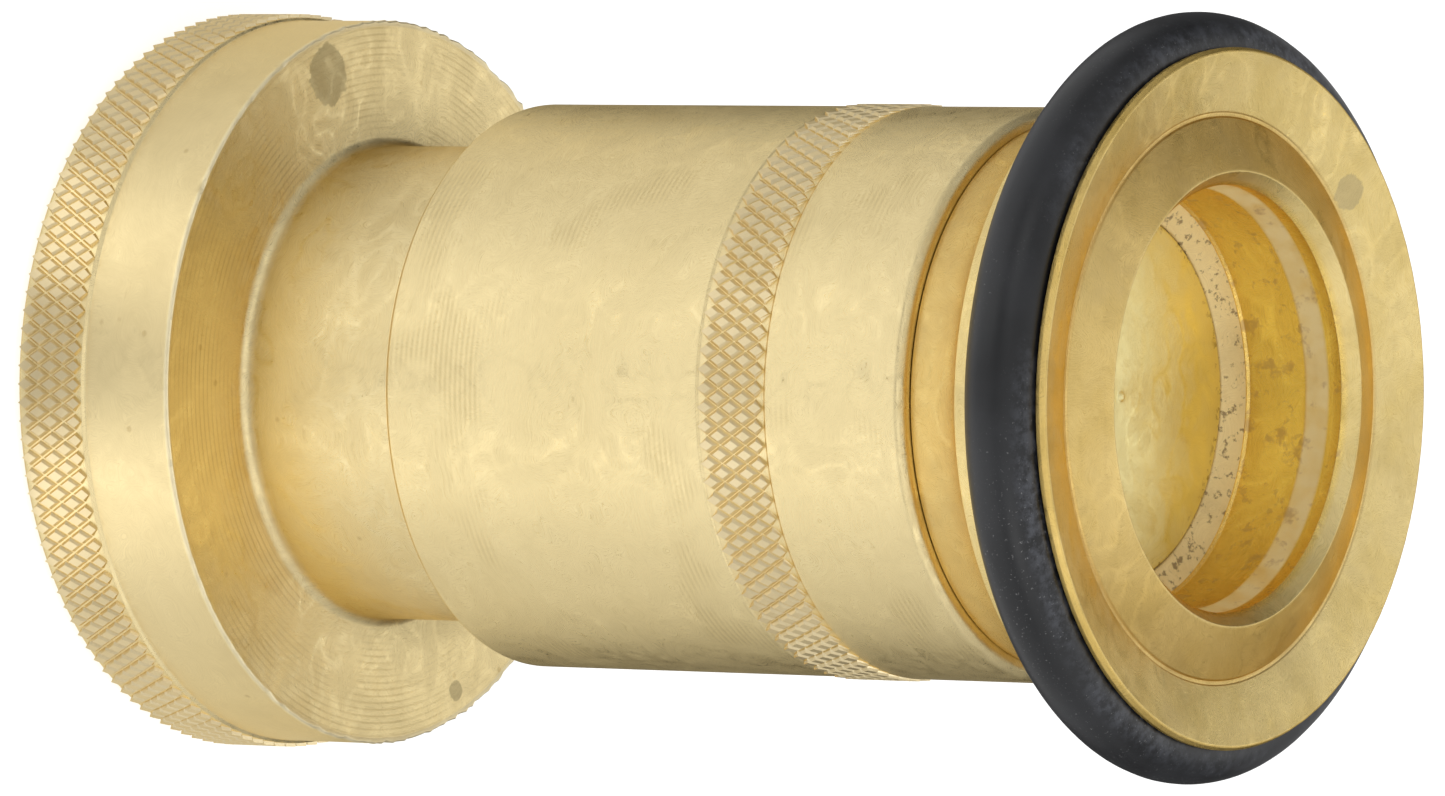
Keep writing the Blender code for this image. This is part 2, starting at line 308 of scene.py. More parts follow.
def soften(profile, closed, cut=0.14):
    """Rounds each corner of a profile; a third number on a point is its own cut."""
    out = []
    count = len(profile)
    for i, point in enumerate(profile):
        r, z = point[0], point[1]
        size = point[2] if len(point) > 2 else cut
        ends = not closed and i in (0, count - 1)
        if size <= 0 or ends:
            out.append((r, z))
            continue
        here = Vector((r, z))
        before = Vector(profile[i - 1][:2]) - here
        after = Vector(profile[(i + 1) % count][:2]) - here
        a = min(size, before.length * 0.45)
        b = min(size, after.length * 0.45)
        first = here + before.normalized() * a
        last = here + after.normalized() * b
        for k in range(CORNER_STEPS + 1):
            t = k / CORNER_STEPS
            p = first * (1 - t) ** 2 + here * 2 * t * (1 - t) + last * t ** 2
            out.append((p.x, p.y))
    return out


def arc(r0, z0, radius, start, end, count):
    """Points on a circle, angles in degrees, that soften leaves alone."""
    points = []
    for i in range(count + 1):
        a = math.radians(start + (end - start) * i / count)
        points.append((r0 + radius * math.cos(a), z0 + radius * math.sin(a), 0))
    return points


square = [(1, 0), (2, 0), (2, 1), (1, 1)]
print("a square profile softens to", len(soften(square, True)), "points")

# %% [markdown]
# One helper turns every profile about Z. A Screw modifier would turn it too, but
# building the rings by hand also allows dents in an edge and a true pole on the axis.
# A second helper shades the mesh and hands it to the body that it moves with.

# %% Turning
AROUND = 288


def turned_mesh(name, profile, closed=True, around=AROUND, wobble=None):
    """Turns a softened profile about Z; points on the axis become single poles."""
    bm = bmesh.new()
    rings = []
    for r, z in profile:
        if r < 1e-6:
            rings.append([bm.verts.new((0.0, 0.0, z * MM))])
            continue
        ring = []
        for k in range(around):
            a = 2 * math.pi * k / around
            rr, zz = wobble(r, z, a) if wobble else (r, z)
            x, y = rr * math.cos(a), rr * math.sin(a)
            ring.append(bm.verts.new((x * MM, y * MM, zz * MM)))
        rings.append(ring)
    pairs = list(zip(rings, rings[1:]))
    if closed:
        pairs.append((rings[-1], rings[0]))
    for upper, lower in pairs:
        for k in range(around):
            n = (k + 1) % around
            if len(upper) == 1:
                bm.faces.new((upper[0], lower[k], lower[n]))
            elif len(lower) == 1:
                bm.faces.new((upper[k], lower[0], upper[n]))
            else:
                bm.faces.new((upper[k], lower[k], lower[n], upper[n]))
    bmesh.ops.recalc_face_normals(bm, faces=bm.faces)
    mesh = bpy.data.meshes.new(name)
    bm.to_mesh(mesh)
    bm.free()
    return mesh


def place(name, mesh, mat, body, node=None, slot=None, smooth=35.0):
    """Links a finished mesh, shades it, and hands it to its body."""
    obj = bpy.data.objects.new(name, mesh)
    bpy.context.scene.collection.objects.link(obj)
    mesh.materials.clear()
    mesh.materials.append(mat)
    mesh.shade_smooth()
    if smooth < 180:
        mesh.set_sharp_from_angle(angle=math.radians(smooth))
    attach(obj, body)
    if node:
        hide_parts(node)
    print(name, len(mesh.polygons), "faces")
    return obj


print("a step round the rim is", round(2 * math.pi * 34.5 / AROUND, 2), "mm")

# %% [markdown]
# A finish is a chain of small sums on textures, so these helpers come first: noise, a
# sum or a product, a value moved from one range to another, and a mix of two colours.
# The pieces are turned, so a pattern that follows the tool is read from the radius and
# the height alone.

# %% Texture helpers
def new_finish(name):
    mat = bpy.data.materials.new(name)
    mat.use_nodes = True
    return mat, mat.node_tree, mat.node_tree.nodes["Principled BSDF"]


def maths(tree, how, a, b=0.0, c=0.0):
    node = add(tree, "ShaderNodeMath", operation=how)
    for i, value in enumerate((a, b, c)):
        if isinstance(value, bpy.types.NodeSocket):
            wire(tree, value, node.inputs[i])
        else:
            node.inputs[i].default_value = value
    return node.outputs[0]


def times(tree, product, *others):
    for other in others:
        product = maths(tree, "MULTIPLY", product, other)
    return product


def scaled_sum(tree, value, scale, rest):
    """value * scale + rest"""
    return maths(tree, "MULTIPLY_ADD", value, scale, rest)


def span(tree, value, low, high, to_low=0.0, to_high=1.0):
    node = add(tree, "ShaderNodeMapRange", i1=low, i2=high, i3=to_low, i4=to_high)
    wire(tree, value, node.inputs["Value"])
    return node.outputs[0]


def cloud(tree, vector, scale, detail=3.0, rough=0.55, fourth=None):
    """Noise with so many features in a metre; a fourth value lets it drift."""
    node = add(tree, "ShaderNodeTexNoise")
    node.noise_dimensions = "4D" if fourth is not None else "3D"
    node.inputs["Scale"].default_value = scale
    node.inputs["Detail"].default_value = detail
    node.inputs["Roughness"].default_value = rough
    wire(tree, vector, node.inputs["Vector"])
    if fourth is not None:
        wire(tree, fourth, node.inputs["W"])
    return node.outputs["Fac"]


def blend_colour(tree, share, first, second, how="MIX"):
    """Mixes two colours, each a socket or a plain value, by a share."""
    node = add(tree, "ShaderNodeMix", data_type="RGBA", blend_type=how)
    for i, value in ((0, share), (6, first), (7, second)):
        if isinstance(value, bpy.types.NodeSocket):
            wire(tree, value, node.inputs[i])
        else:
            node.inputs[i].default_value = (*value, 1.0)
    return node.outputs[2]


def tint(tree, colour, share, shade):
    return blend_colour(tree, share, colour, shade, "MULTIPLY")


def axis_space(tree):
    """The object's coordinates, its radius, its height, and both as one vector."""
    where = add(tree, "ShaderNodeTexCoord").outputs["Object"]
    flat = add(tree, "ShaderNodeVectorMath", operation="MULTIPLY", i1=(1.0, 1.0, 0.0))
    wire(tree, where, flat.inputs[0])
    reach = add(tree, "ShaderNodeVectorMath", operation="LENGTH")
    wire(tree, flat.outputs[0], reach.inputs[0])
    reach = reach.outputs["Value"]
    height = split_xyz(tree, where)[2]
    return where, reach, height, join_xyz(tree, reach, height)


print("texture helpers ready, noise counted in features a metre")

# %% [markdown]
# Turned brass shows fine rings wherever the tool passed, along a wall and across a
# face alike. Both are rings about the axis, so the noise is read from the radius and
# the height only, and a slow cloud in the fourth dimension makes the rings fade in and
# out on their way round. A finer grain and a film of tarnish lie over them. The rings
# also stretch the gloss, so the shader is anisotropic about the axis.

# %% Brass finish
TARNISH = (0.56, 0.44, 0.22)
EDGE_TINT = (0.93, 0.78, 0.50, 1.0)
SLOW_CLOUD, FILM_CLOUD, GRAIN_CLOUD = 45.0, 120.0, 2600.0
RING_DEPTH = 0.00002


def add_bump(tree, shader, height, strength, depth):
    bump = add(tree, "ShaderNodeBump")
    bump.inputs["Strength"].default_value = strength
    bump.inputs["Distance"].default_value = depth
    wire(tree, height, bump.inputs["Height"])
    wire(tree, bump.outputs[0], shader.inputs["Normal"])


def brass_finish(name, light, dark, patina=0.25, rough=0.30, rings=1.0, stretch=0.6,
                 ring_scale=3300.0, extra=None):
    mat, tree, shader = new_finish(name)
    where, reach, height, both = axis_space(tree)
    slow = cloud(tree, where, SLOW_CLOUD)
    drift = times(tree, slow, 2.2)
    fine = span(tree, cloud(tree, both, ring_scale, 2.0, fourth=drift), 0.30, 0.70)
    broad = span(tree, cloud(tree, both, ring_scale * 0.2, fourth=drift), 0.30, 0.70)
    marks = scaled_sum(tree, fine, 0.6, times(tree, broad, 0.4))
    tone = scaled_sum(tree, marks, 0.60 * rings, scaled_sum(tree, slow, 0.30, 0.05))
    colour = ramp(tree, [(0.22, dark), (0.62, light)], tone, "LINEAR")
    film = cloud(tree, where, FILM_CLOUD, 5.0, 0.62)
    colour = blend_colour(tree, times(tree, span(tree, film, 0.50, 0.72), patina), colour, TARNISH)
    worn = scaled_sum(tree, marks, 0.7, times(tree, film, 0.3))
    roughness = span(tree, worn, 0.3, 0.7, rough - 0.05, rough + 0.09)
    scale = None
    if extra:
        colour, roughness, *scale = extra(tree, where, reach, height, colour, roughness)
    wire(tree, colour, shader.inputs["Base Color"])
    wire(tree, roughness, shader.inputs["Roughness"])
    shader.inputs["Metallic"].default_value = 1.0
    # A third value from the marks lowers Metallic towards 0.35.
    if scale:
        wire(tree, span(tree, scale[0], 0.0, 1.0, 1.0, 0.35), shader.inputs["Metallic"])
    shader.inputs["Specular Tint"].default_value = EDGE_TINT
    shader.inputs["Anisotropic"].default_value = stretch
    around = add(tree, "ShaderNodeTangent", direction_type="RADIAL", axis="Z")
    wire(tree, around.outputs[0], shader.inputs["Tangent"])
    grain = times(tree, cloud(tree, where, GRAIN_CLOUD, 2.0), 0.3)
    add_bump(tree, shader, scaled_sum(tree, marks, rings, grain), 0.5, RING_DEPTH)
    print(name, len(tree.nodes), "nodes")
    return mat


STEM = brass_finish("stem_brass", (0.88, 0.72, 0.38), (0.66, 0.50, 0.24), patina=0.3)

# %% [markdown]
# The rubber is matt black with a little bloom. Dust sits on it as pale specks of two
# sizes, gathered in drifts: a slow cloud decides where dust lies at all, and a fast one
# is cut so high that only its peaks show as specks. The side that faces the rim is
# powdered, because hands seldom wipe it.

# %% Rubber finish
POWDER_FROM, POWDER_TO = 109.7, 111.2
POWDER, DUST = (0.16, 0.17, 0.20), (0.42, 0.42, 0.42)
RUBBER_GRAIN_DEPTH = 0.00003


def band(tree, value, low, high, soft=0.25):
    """1 between two places in millimetres, with soft ends."""
    rise = span(tree, value, (low - soft) * MM, (low + soft) * MM)
    fall = span(tree, value, (high + soft) * MM, (high - soft) * MM)
    return times(tree, rise, fall)


def rubber_finish(name, base=(0.020, 0.021, 0.024), dust=0.35, rough=0.5):
    mat, tree, shader = new_finish(name)
    where, _, height, _ = axis_space(tree)
    bloom = cloud(tree, where, 90.0, 4.0, 0.6)
    speck = span(tree, cloud(tree, where, 1500.0, 3.0, 0.7), 0.68, 0.76)
    crumb = span(tree, cloud(tree, where, 3800.0, 2.0, 0.6), 0.66, 0.74, 0.0, 0.7)
    veil = span(tree, cloud(tree, where, 60.0), 0.45, 0.75)
    specks = times(tree, maths(tree, "MAXIMUM", speck, crumb), veil, dust)
    colour = ramp(tree, [(0.35, base), (0.75, tuple(v * 2.2 for v in base))], bloom)
    lumps = span(tree, cloud(tree, where, 900.0, 4.0, 0.7), 0.42, 0.62, 0.0, 0.5)
    powder = times(tree, band(tree, height, POWDER_FROM, POWDER_TO, 0.4), veil, lumps)
    colour = blend_colour(tree, powder, colour, POWDER)
    colour = blend_colour(tree, specks, colour, DUST)
    wire(tree, colour, shader.inputs["Base Color"])
    roughness = span(tree, bloom, 0.3, 0.7, rough - 0.07, rough + 0.1)
    wire(tree, roughness, shader.inputs["Roughness"])
    shader.inputs["Specular IOR Level"].default_value = 0.45
    add_bump(tree, shader, cloud(tree, where, 2200.0, 3.0, 0.6), 0.25, RUBBER_GRAIN_DEPTH)
    print(name, len(tree.nodes), "nodes")
    return mat


BUMPER = rubber_finish("bumper_rubber", (0.009, 0.0095, 0.011), dust=0.8, rough=0.38)
SEAL = rubber_finish("seal_rubber", dust=0.15, rough=0.45)

# %% [markdown]
# The two split rings are spring steel and the ring behind the O-ring is hard plastic.
# They are small and mostly hidden, so a colour cloud and an uneven gloss are enough.

# %% Steel and plastic
def plain_finish(name, base, metallic, rough):
    mat, tree, shader = new_finish(name)
    haze = cloud(tree, axis_space(tree)[0], 300.0, 4.0)
    colour = ramp(tree, [(0.3, tuple(v * 0.8 for v in base)), (0.7, base)], haze)
    wire(tree, colour, shader.inputs["Base Color"])
    roughness = span(tree, haze, 0.3, 0.7, rough - 0.06, rough + 0.08)
    wire(tree, roughness, shader.inputs["Roughness"])
    shader.inputs["Metallic"].default_value = metallic
    print(name, len(tree.nodes), "nodes")
    return mat


STEEL = plain_finish("spring_steel", (0.60, 0.60, 0.62), 1.0, 0.3)
BACKING = plain_finish("backing_plastic", (0.80, 0.79, 0.75), 0.0, 0.4)

# %% [markdown]
# Use leaves stains and pits. A stain is a ragged round spot about a given point. Pits
# are Voronoi cells shrunk to dots, and only a few of the cells are allowed to have one.

# %% Stains and pits
STAIN_NOISE = 900.0
STAIN_RAG = 0.35


def spot(tree, where, centre, size):
    """A ragged stain, 1 inside, about a point in millimetres."""
    off = add(tree, "ShaderNodeVectorMath", operation="SUBTRACT")
    off.inputs[1].default_value = tuple(v * MM for v in centre)
    wire(tree, where, off.inputs[0])
    far = add(tree, "ShaderNodeVectorMath", operation="LENGTH")
    wire(tree, off.outputs[0], far.inputs[0])
    edge = cloud(tree, where, STAIN_NOISE)
    wavy = scaled_sum(tree, edge, size * MM * STAIN_RAG * 2, far.outputs["Value"])
    return span(tree, wavy, size * MM * (1.0 + STAIN_RAG), size * MM * (0.9 + STAIN_RAG))


def pits(tree, where, scale, size, rarity):
    """Small round dark pits, 1 inside, in some cells only."""
    cells = add(tree, "ShaderNodeTexVoronoi")
    cells.inputs["Scale"].default_value = scale
    wire(tree, where, cells.inputs["Vector"])
    pick = add(tree, "ShaderNodeSeparateColor")
    wire(tree, cells.outputs["Color"], pick.inputs[0])
    chosen = maths(tree, "GREATER_THAN", pick.outputs[1], rarity)
    dot = span(tree, cells.outputs["Distance"], size, size * 0.5)
    return times(tree, dot, chosen)


print("stain edges wander by", STAIN_RAG, "of their size")

# %% [markdown]
# The inlet casting is dull pale brass. Its face keeps the coarse spiral of a facing cut
# and two stains, its front edge a burr with a painted highlight along it, and dirt gathers
# in the corner between the face and the neck. The plain wall is a little rougher than the rest.

# %% Inlet brass
PALE = dict(light=(0.98, 0.815, 0.45), dark=(0.76, 0.60, 0.29))
FACING_FEED = 0.62 * MM
FLANGE_STAINS = [((-28.3, -9.9, 17.1), 2.9), ((28.8, 12.1, 17.1), 1.0)]


def inlet_marks(tree, where, reach, height, colour, roughness):
    face = times(tree, band(tree, height, 16.9, 17.3, 0.1),
                 span(tree, reach, 22.5 * MM, 23.5 * MM))
    wave = maths(tree, "SINE", times(tree, reach, 2 * math.pi / FACING_FEED))
    worn = span(tree, cloud(tree, where, 110.0, 2.0), 0.40, 0.60)
    groove = times(tree, span(tree, wave, 0.2, 1.0), face, worn, 0.5)
    colour = tint(tree, colour, groove, (0.66, 0.60, 0.50))
    for centre, size in FLANGE_STAINS:
        stain = times(tree, spot(tree, where, centre, size), 0.75)
        colour = blend_colour(tree, stain, colour, (0.44, 0.36, 0.19))
    colour = tint(tree, colour, times(tree, face, 0.5), (0.93, 0.92, 0.90))
    # Painted highlight: the band on the flange's front edge, where the burr is, is painted paler
    # and made rougher.
    burr_highlight = times(tree, band(tree, reach, 33.2, 33.9, 0.1), band(tree, height, 16.8, 17.6, 0.12))
    colour = blend_colour(tree, times(tree, burr_highlight, 0.7), colour, (1.0, 0.90, 0.62))
    roughness = scaled_sum(tree, burr_highlight, 0.15, roughness)
    corner = times(tree, band(tree, reach, 21.9, 23.0, 0.3), band(tree, height, 17.0, 18.3, 0.4))
    clumps = span(tree, cloud(tree, where, 160.0, 4.0, 0.7), 0.45, 0.65, 0.0, 0.35)
    colour = blend_colour(tree, times(tree, corner, clumps), colour, (0.40, 0.30, 0.15))
    wall = times(tree, band(tree, height, 7.9, 16.6, 0.1),
                 span(tree, reach, 33.0 * MM, 33.4 * MM))
    colour = tint(tree, colour, wall, (0.96, 0.96, 0.97))
    roughness = scaled_sum(tree, wall, 0.07, roughness)
    dots = times(tree, pits(tree, where, 420.0, 0.16, 0.93), 0.35)
    return tint(tree, colour, dots, (0.55, 0.45, 0.30)), roughness


INLET = brass_finish("inlet_brass", patina=0.15, extra=inlet_marks, **PALE)

# %% [markdown]
# The sleeve is cleaner. Where the tool trembled it left patches of chatter, which are
# short runs of even rings, so a Wave texture is shown only inside a cloud.

# %% Sleeve brass
CHATTER_SCALE = 560.0


def sleeve_marks(tree, where, reach, height, colour, roughness):
    patch = span(tree, cloud(tree, where, 95.0, 2.0), 0.56, 0.66)
    wave = add(tree, "ShaderNodeTexWave", wave_type="BANDS", bands_direction="Z")
    wave.inputs["Scale"].default_value = CHATTER_SCALE
    wave.inputs["Distortion"].default_value = 0.6
    wire(tree, where, wave.inputs["Vector"])
    chatter = times(tree, wave.outputs["Fac"], patch, 0.45)
    colour = tint(tree, colour, chatter, (0.72, 0.68, 0.60))
    dots = times(tree, pits(tree, where, 300.0, 0.13, 0.95), 0.4)
    return tint(tree, colour, dots, (0.5, 0.42, 0.3)), roughness


SLEEVE = brass_finish("sleeve_brass", patina=0.08, extra=sleeve_marks, **PALE)

# %% [markdown]
# The tip's bore is amber and pitted, and the conical hoop in the
# bore is paler, rougher and only partly metal. The faces are olive from handling,
# and the inner cone carries painted shade towards two sides.

# %% Tip brass
def bore_marks(tree, where, bore, hoop, colour):
    """The bore's amber, the paler hoop in it, and the brown dirt in it."""
    colour = tint(tree, colour, bore, (0.98, 0.90, 0.62))
    colour = blend_colour(tree, times(tree, hoop, 0.85), colour, (1.0, 0.87, 0.56))
    clumps = span(tree, cloud(tree, where, 520.0, 4.0, 0.65), 0.56, 0.66)
    dirt = times(tree, clumps, bore, 0.5)
    return blend_colour(tree, dirt, colour, (0.50, 0.34, 0.20)), dirt


def face_marks(tree, where, reach, face, colour):
    """Film, a stain, the two cones, painted shade on the inner cone's sides, the rim and the
    valley.
    """
    film = span(tree, cloud(tree, where, 150.0, 5.0, 0.6), 0.42, 0.62)
    colour = tint(tree, colour, times(tree, film, face, 0.55), (0.86, 0.82, 0.66))
    stain = times(tree, spot(tree, where, (-18.9, 19.6, 110.4), 1.8), 0.65)
    colour = blend_colour(tree, stain, colour, (0.52, 0.42, 0.22))
    inner = times(tree, band(tree, reach, 20.4, 25.3, 0.15), face)
    colour = tint(tree, colour, inner, (0.96, 0.90, 0.78))
    # Painted shade: the inner cone is darkened towards its two sides along X, in place of dark
    # reflections.
    sideways = maths(tree, "ABSOLUTE", split_xyz(tree, where)[0])
    painted_shade_sides = times(tree, span(tree, sideways, 9.0 * MM, 21.0 * MM), 0.50)
    colour = tint(tree, colour, times(tree, inner, painted_shade_sides), (0.46, 0.38, 0.26))
    rim = times(tree, band(tree, reach, 31.0, 32.5, 0.1), face)
    colour = tint(tree, colour, rim, (1.0, 0.92, 0.70))
    valley = times(tree, band(tree, reach, 25.1, 25.65, 0.12), face, 0.45)
    return tint(tree, colour, valley, (0.70, 0.55, 0.34))


def tip_marks(tree, where, reach, height, colour, roughness):
    bore = span(tree, reach, 19.6 * MM, 19.2 * MM)
    patchy = span(tree, cloud(tree, where, 420.0, 4.0), 0.25, 0.60, 0.55, 1.0)
    hoop = times(tree, band(tree, height, 106.7, 108.9, 0.15), bore, patchy)
    colour, dirt = bore_marks(tree, where, bore, hoop, colour)
    face = span(tree, height, 109.5 * MM, 109.9 * MM)
    colour = face_marks(tree, where, reach, face, colour)
    cove = times(tree, band(tree, height, 93.0, 100.5, 0.3),
                 span(tree, reach, 29.5 * MM, 29.0 * MM), 0.7)
    colour = tint(tree, colour, cove, (1.0, 0.90, 0.70))
    roughness = scaled_sum(tree, bore, -0.08, roughness)
    roughness = scaled_sum(tree, hoop, 0.20, roughness)
    return colour, scaled_sum(tree, dirt, 0.3, roughness), hoop


TIP = brass_finish("tip_brass", (0.93, 0.74, 0.34), (0.72, 0.54, 0.20), patina=0.35,
                   extra=tip_marks)

# %% [markdown]
# The small disc in the throat is the freshest, yellowest metal, with strong rings and
# dirt round its edge. The ring about it is dull, speckled and in patches only partly metal.

# %% Throat brass
def disc_marks(tree, where, reach, height, colour, roughness):
    edge = span(tree, reach, 15.6 * MM, 16.6 * MM)
    speckle = span(tree, cloud(tree, where, 900.0, 4.0, 0.7), 0.55, 0.62)
    dirt = times(tree, edge, speckle, 0.8)
    return blend_colour(tree, dirt, colour, (0.20, 0.12, 0.05)), roughness


def seat_marks(tree, where, reach, height, colour, roughness):
    speckle = span(tree, cloud(tree, where, 1100.0, 4.0, 0.7), 0.57, 0.64)
    colour = blend_colour(tree, times(tree, speckle, 0.75), colour, (0.22, 0.14, 0.07))
    patchy = span(tree, cloud(tree, where, 500.0, 4.0), 0.3, 0.6, 0.3, 0.9)
    return colour, maths(tree, "ADD", roughness, 0.12), patchy


DISC = brass_finish("disc_brass", (1.0, 0.91, 0.48), (0.80, 0.71, 0.31), patina=0.1,
                    rough=0.34, stretch=0.85, rings=1.6, ring_scale=1900.0, extra=disc_marks)
SEAT = brass_finish("seat_brass", (1.0, 0.83, 0.45), (0.76, 0.58, 0.28), patina=0.3,
                    rough=0.42, stretch=0.3, extra=seat_marks)

# %% [markdown]
# A knurl is rolled, not cut, so it has next to no rings and its grooves are bright. The
# tops of its diamonds keep the duller skin that the roll did not press.

# %% Knurl brass
ROLLED = dict(light=(1.0, 0.87, 0.57), dark=(0.82, 0.69, 0.42))


def knurl_marks(low, high):
    def marks(tree, where, reach, height, colour, roughness):
        top = span(tree, reach, low * MM, high * MM)
        colour = tint(tree, colour, times(tree, top, 0.5), (0.94, 0.90, 0.84))
        return colour, scaled_sum(tree, top, 0.10, roughness)
    return marks


RIM_KNURL, GRIP_KNURL = (
    brass_finish(name, rings=0.3, stretch=0.2, extra=knurl_marks(low, high), **ROLLED)
    for name, low, high in (("rim_knurl_brass", 33.9, 34.2), ("grip_knurl_brass", 25.85, 26.1)))

# %% [markdown]
# The inlet casting carries the flange, the neck and the hidden nose. Its flange was
# faced last, so the tool pushed a thin burr over the front edge, and handling has since
# nicked it. The wobble below moves only the rings near that edge, in and out, with
# noise round the rim, so the edge catches the light unevenly.

# %% Inlet casting
BURR_NOISE, NICK_NOISE = 38.0, 17.0
NICK_RARITY = 0.30


def ragged_edge(corner, reach_mm, amount, seed):
    """A wobble that roughens one corner of a profile."""
    def wobble(r, z, a):
        near = 1.0 - math.hypot(r - corner[0], z - corner[1]) / reach_mm
        if near <= 0:
            return r, z
        at = Vector((math.cos(a), math.sin(a), seed))
        fine = noise.noise(at * BURR_NOISE)
        nick = noise.noise(at * NICK_NOISE + Vector((7, 3, 1))) - NICK_RARITY
        push = amount * near * (0.55 * fine - max(0.0, nick) * 2.2)
        return r + push, z + push * 0.7
    return wobble


def turn_piece(name, profile, mat, body, node, cut=0.14, closed=True, around=AROUND,
               wobble=None):
    mesh = turned_mesh(name, soften(profile, closed, cut), closed, around, wobble)
    return place(name, mesh, mat, body, node)


casting = [(19.8, 80.2), (20.6, 79.4), (20.6, 79.2), (18.2, 79.2), (18.2, 75.4),
           (20.6, 75.4), (20.6, 42.4), (21.5, 41.5), (22.0, 41.0), (22.0, 18.5, 0.0),
           (22.1, 17.9, 0.0), (22.4, 17.4, 0.0), (22.9, 17.1, 0.0), (28.0, 17.1, 0.0),
           (33.1, 17.1, 0.0), (33.25, 17.13, 0.0), (33.38, 17.19, 0.0), (33.5, 17.2, 0.0),
           (33.6, 17.12, 0.0), (33.66, 16.98, 0.0), (33.67, 16.82, 0.0),
           (33.65, 16.6, 0.0), (33.65, 16.2, 0.0), (33.65, 7.75, 0.15), (33.95, 7.5, 0.1),
           (33.95, 0.5, 0.2), (33.5, 0.0, 0.3), (26.4, 0.0), (25.6, 0.8),
           (25.6, 14.0), (17.0, 14.0), (17.0, 17.9), (18.1, 17.9), (18.1, 20.0),
           (17.0, 20.0), (17.0, 28.0), (15.8, 28.6), (15.8, 80.2)]
turn_piece("flange_and_neck", casting, INLET, "base", "inlet_body",
           wobble=ragged_edge((33.55, 17.1), 0.6, 0.5, 0.0), around=360)

# %% [markdown]
# A knurl is two crossed sets of grooves, which leave rows of small pyramids. Instead of
# cutting grooves, Geometry Nodes sets a blunt pyramid on each crossing. A point's index
# gives its column and row, and every second row is turned by half a column. The sizes
# are inputs of the tree, so one tree rolls both knurls.

# %% Knurl places
KNURL_SIZES = [("Columns", "NodeSocketInt"), ("Rows", "NodeSocketInt"),
               ("Radius", "NodeSocketFloat"), ("First row", "NodeSocketFloat"),
               ("Row pitch", "NodeSocketFloat"), ("Depth", "NodeSocketFloat"),
               ("Low edge", "NodeSocketFloat"), ("High edge", "NodeSocketFloat"),
               ("Flat", "NodeSocketFloat"), ("Metal", "NodeSocketMaterial")]


def knurl_places(tree, given, step):
    """A point for every stud, and the direction that faces outwards there."""
    index = add(tree, "GeometryNodeInputIndex").outputs[0]
    turns = maths(tree, "DIVIDE", maths(tree, "ADD", index, 0.5), given["Columns"])
    row = maths(tree, "FLOOR", turns)
    column = maths(tree, "SUBTRACT", index, times(tree, row, given["Columns"]))
    odd = maths(tree, "MODULO", row, 2.0)
    angle = times(tree, scaled_sum(tree, odd, 0.5, column), step)
    across, along = maths(tree, "COSINE", angle), maths(tree, "SINE", angle)
    high = scaled_sum(tree, row, given["Row pitch"], given["First row"])
    centre = join_xyz(tree, times(tree, across, given["Radius"]),
                      times(tree, along, given["Radius"]), high)
    dots = add(tree, "GeometryNodePoints")
    wire(tree, times(tree, given["Columns"], given["Rows"]), dots.inputs["Count"])
    wire(tree, centre, dots.inputs["Position"])
    return dots.outputs[0], join_xyz(tree, across, along)


print("knurl inputs", [title for title, kind in KNURL_SIZES])

# %% [markdown]
# One stud is a cone with four sides and a flat top, one unit high, so the sizes scale
# it. Rolled metal bulges between the grooves, so the middle of each side swells a
# little. The stud is stood on each point with its top outwards.

# %% Knurl studs
STUD_SWELL = 0.07


def knurl_stud(tree, flat):
    stud = add(tree, "GeometryNodeMeshCone", fill_type="NGON")
    stud.inputs["Vertices"].default_value = 4
    stud.inputs["Side Segments"].default_value = 2
    stud.inputs["Radius Bottom"].default_value = 1.0
    stud.inputs["Depth"].default_value = 1.0
    wire(tree, flat, stud.inputs["Radius Top"])
    belly = add(tree, "GeometryNodeSetPosition")
    wire(tree, stud.outputs["Mesh"], belly.inputs["Geometry"])
    x, y, z = split_xyz(tree, add(tree, "GeometryNodeInputPosition").outputs[0])
    from_middle = maths(tree, "ABSOLUTE", scaled_sum(tree, z, 2.0, -1.0))
    swell = scaled_sum(tree, maths(tree, "SUBTRACT", 1.0, from_middle), STUD_SWELL, 1.0)
    pushed = join_xyz(tree, times(tree, x, swell), times(tree, y, swell), z)
    wire(tree, pushed, belly.inputs["Position"])
    return belly.outputs[0]


def knurl_studs(tree, given, step):
    """The studs on their points, turned outwards and scaled, as instances."""
    dots, outward = knurl_places(tree, given, step)
    facing = add(tree, "FunctionNodeAxesToRotation", primary_axis="Z", secondary_axis="X")
    facing.inputs["Secondary Axis"].default_value = (0.0, 0.0, 1.0)
    wire(tree, outward, facing.inputs["Primary Axis"])
    half = times(tree, step, given["Radius"], 0.5)
    studs = add(tree, "GeometryNodeInstanceOnPoints")
    wire(tree, dots, studs.inputs["Points"])
    wire(tree, knurl_stud(tree, given["Flat"]), studs.inputs["Instance"])
    wire(tree, facing.outputs[0], studs.inputs["Rotation"])
    wire(tree, join_xyz(tree, given["Row pitch"], half, given["Depth"]), studs.inputs["Scale"])
    return studs.outputs[0]


print("a stud swells by", STUD_SWELL, "of its width")

# %% [markdown]
# The rows at both ends are pressed flat against the edge of the band, as they are where
# a real knurl runs out. Only real points can be moved one by one, so Realize Instances
# comes before the pressing, and Set Material ends the tree.

# %% Knurl tree
def pressed_between(tree, shape, low, high):
    x, y, z = split_xyz(tree, add(tree, "GeometryNodeInputPosition").outputs[0])
    kept = maths(tree, "MINIMUM", maths(tree, "MAXIMUM", z, low), high)
    press = add(tree, "GeometryNodeSetPosition")
    wire(tree, shape, press.inputs["Geometry"])
    wire(tree, join_xyz(tree, x, y, kept), press.inputs["Position"])
    return press.outputs[0]


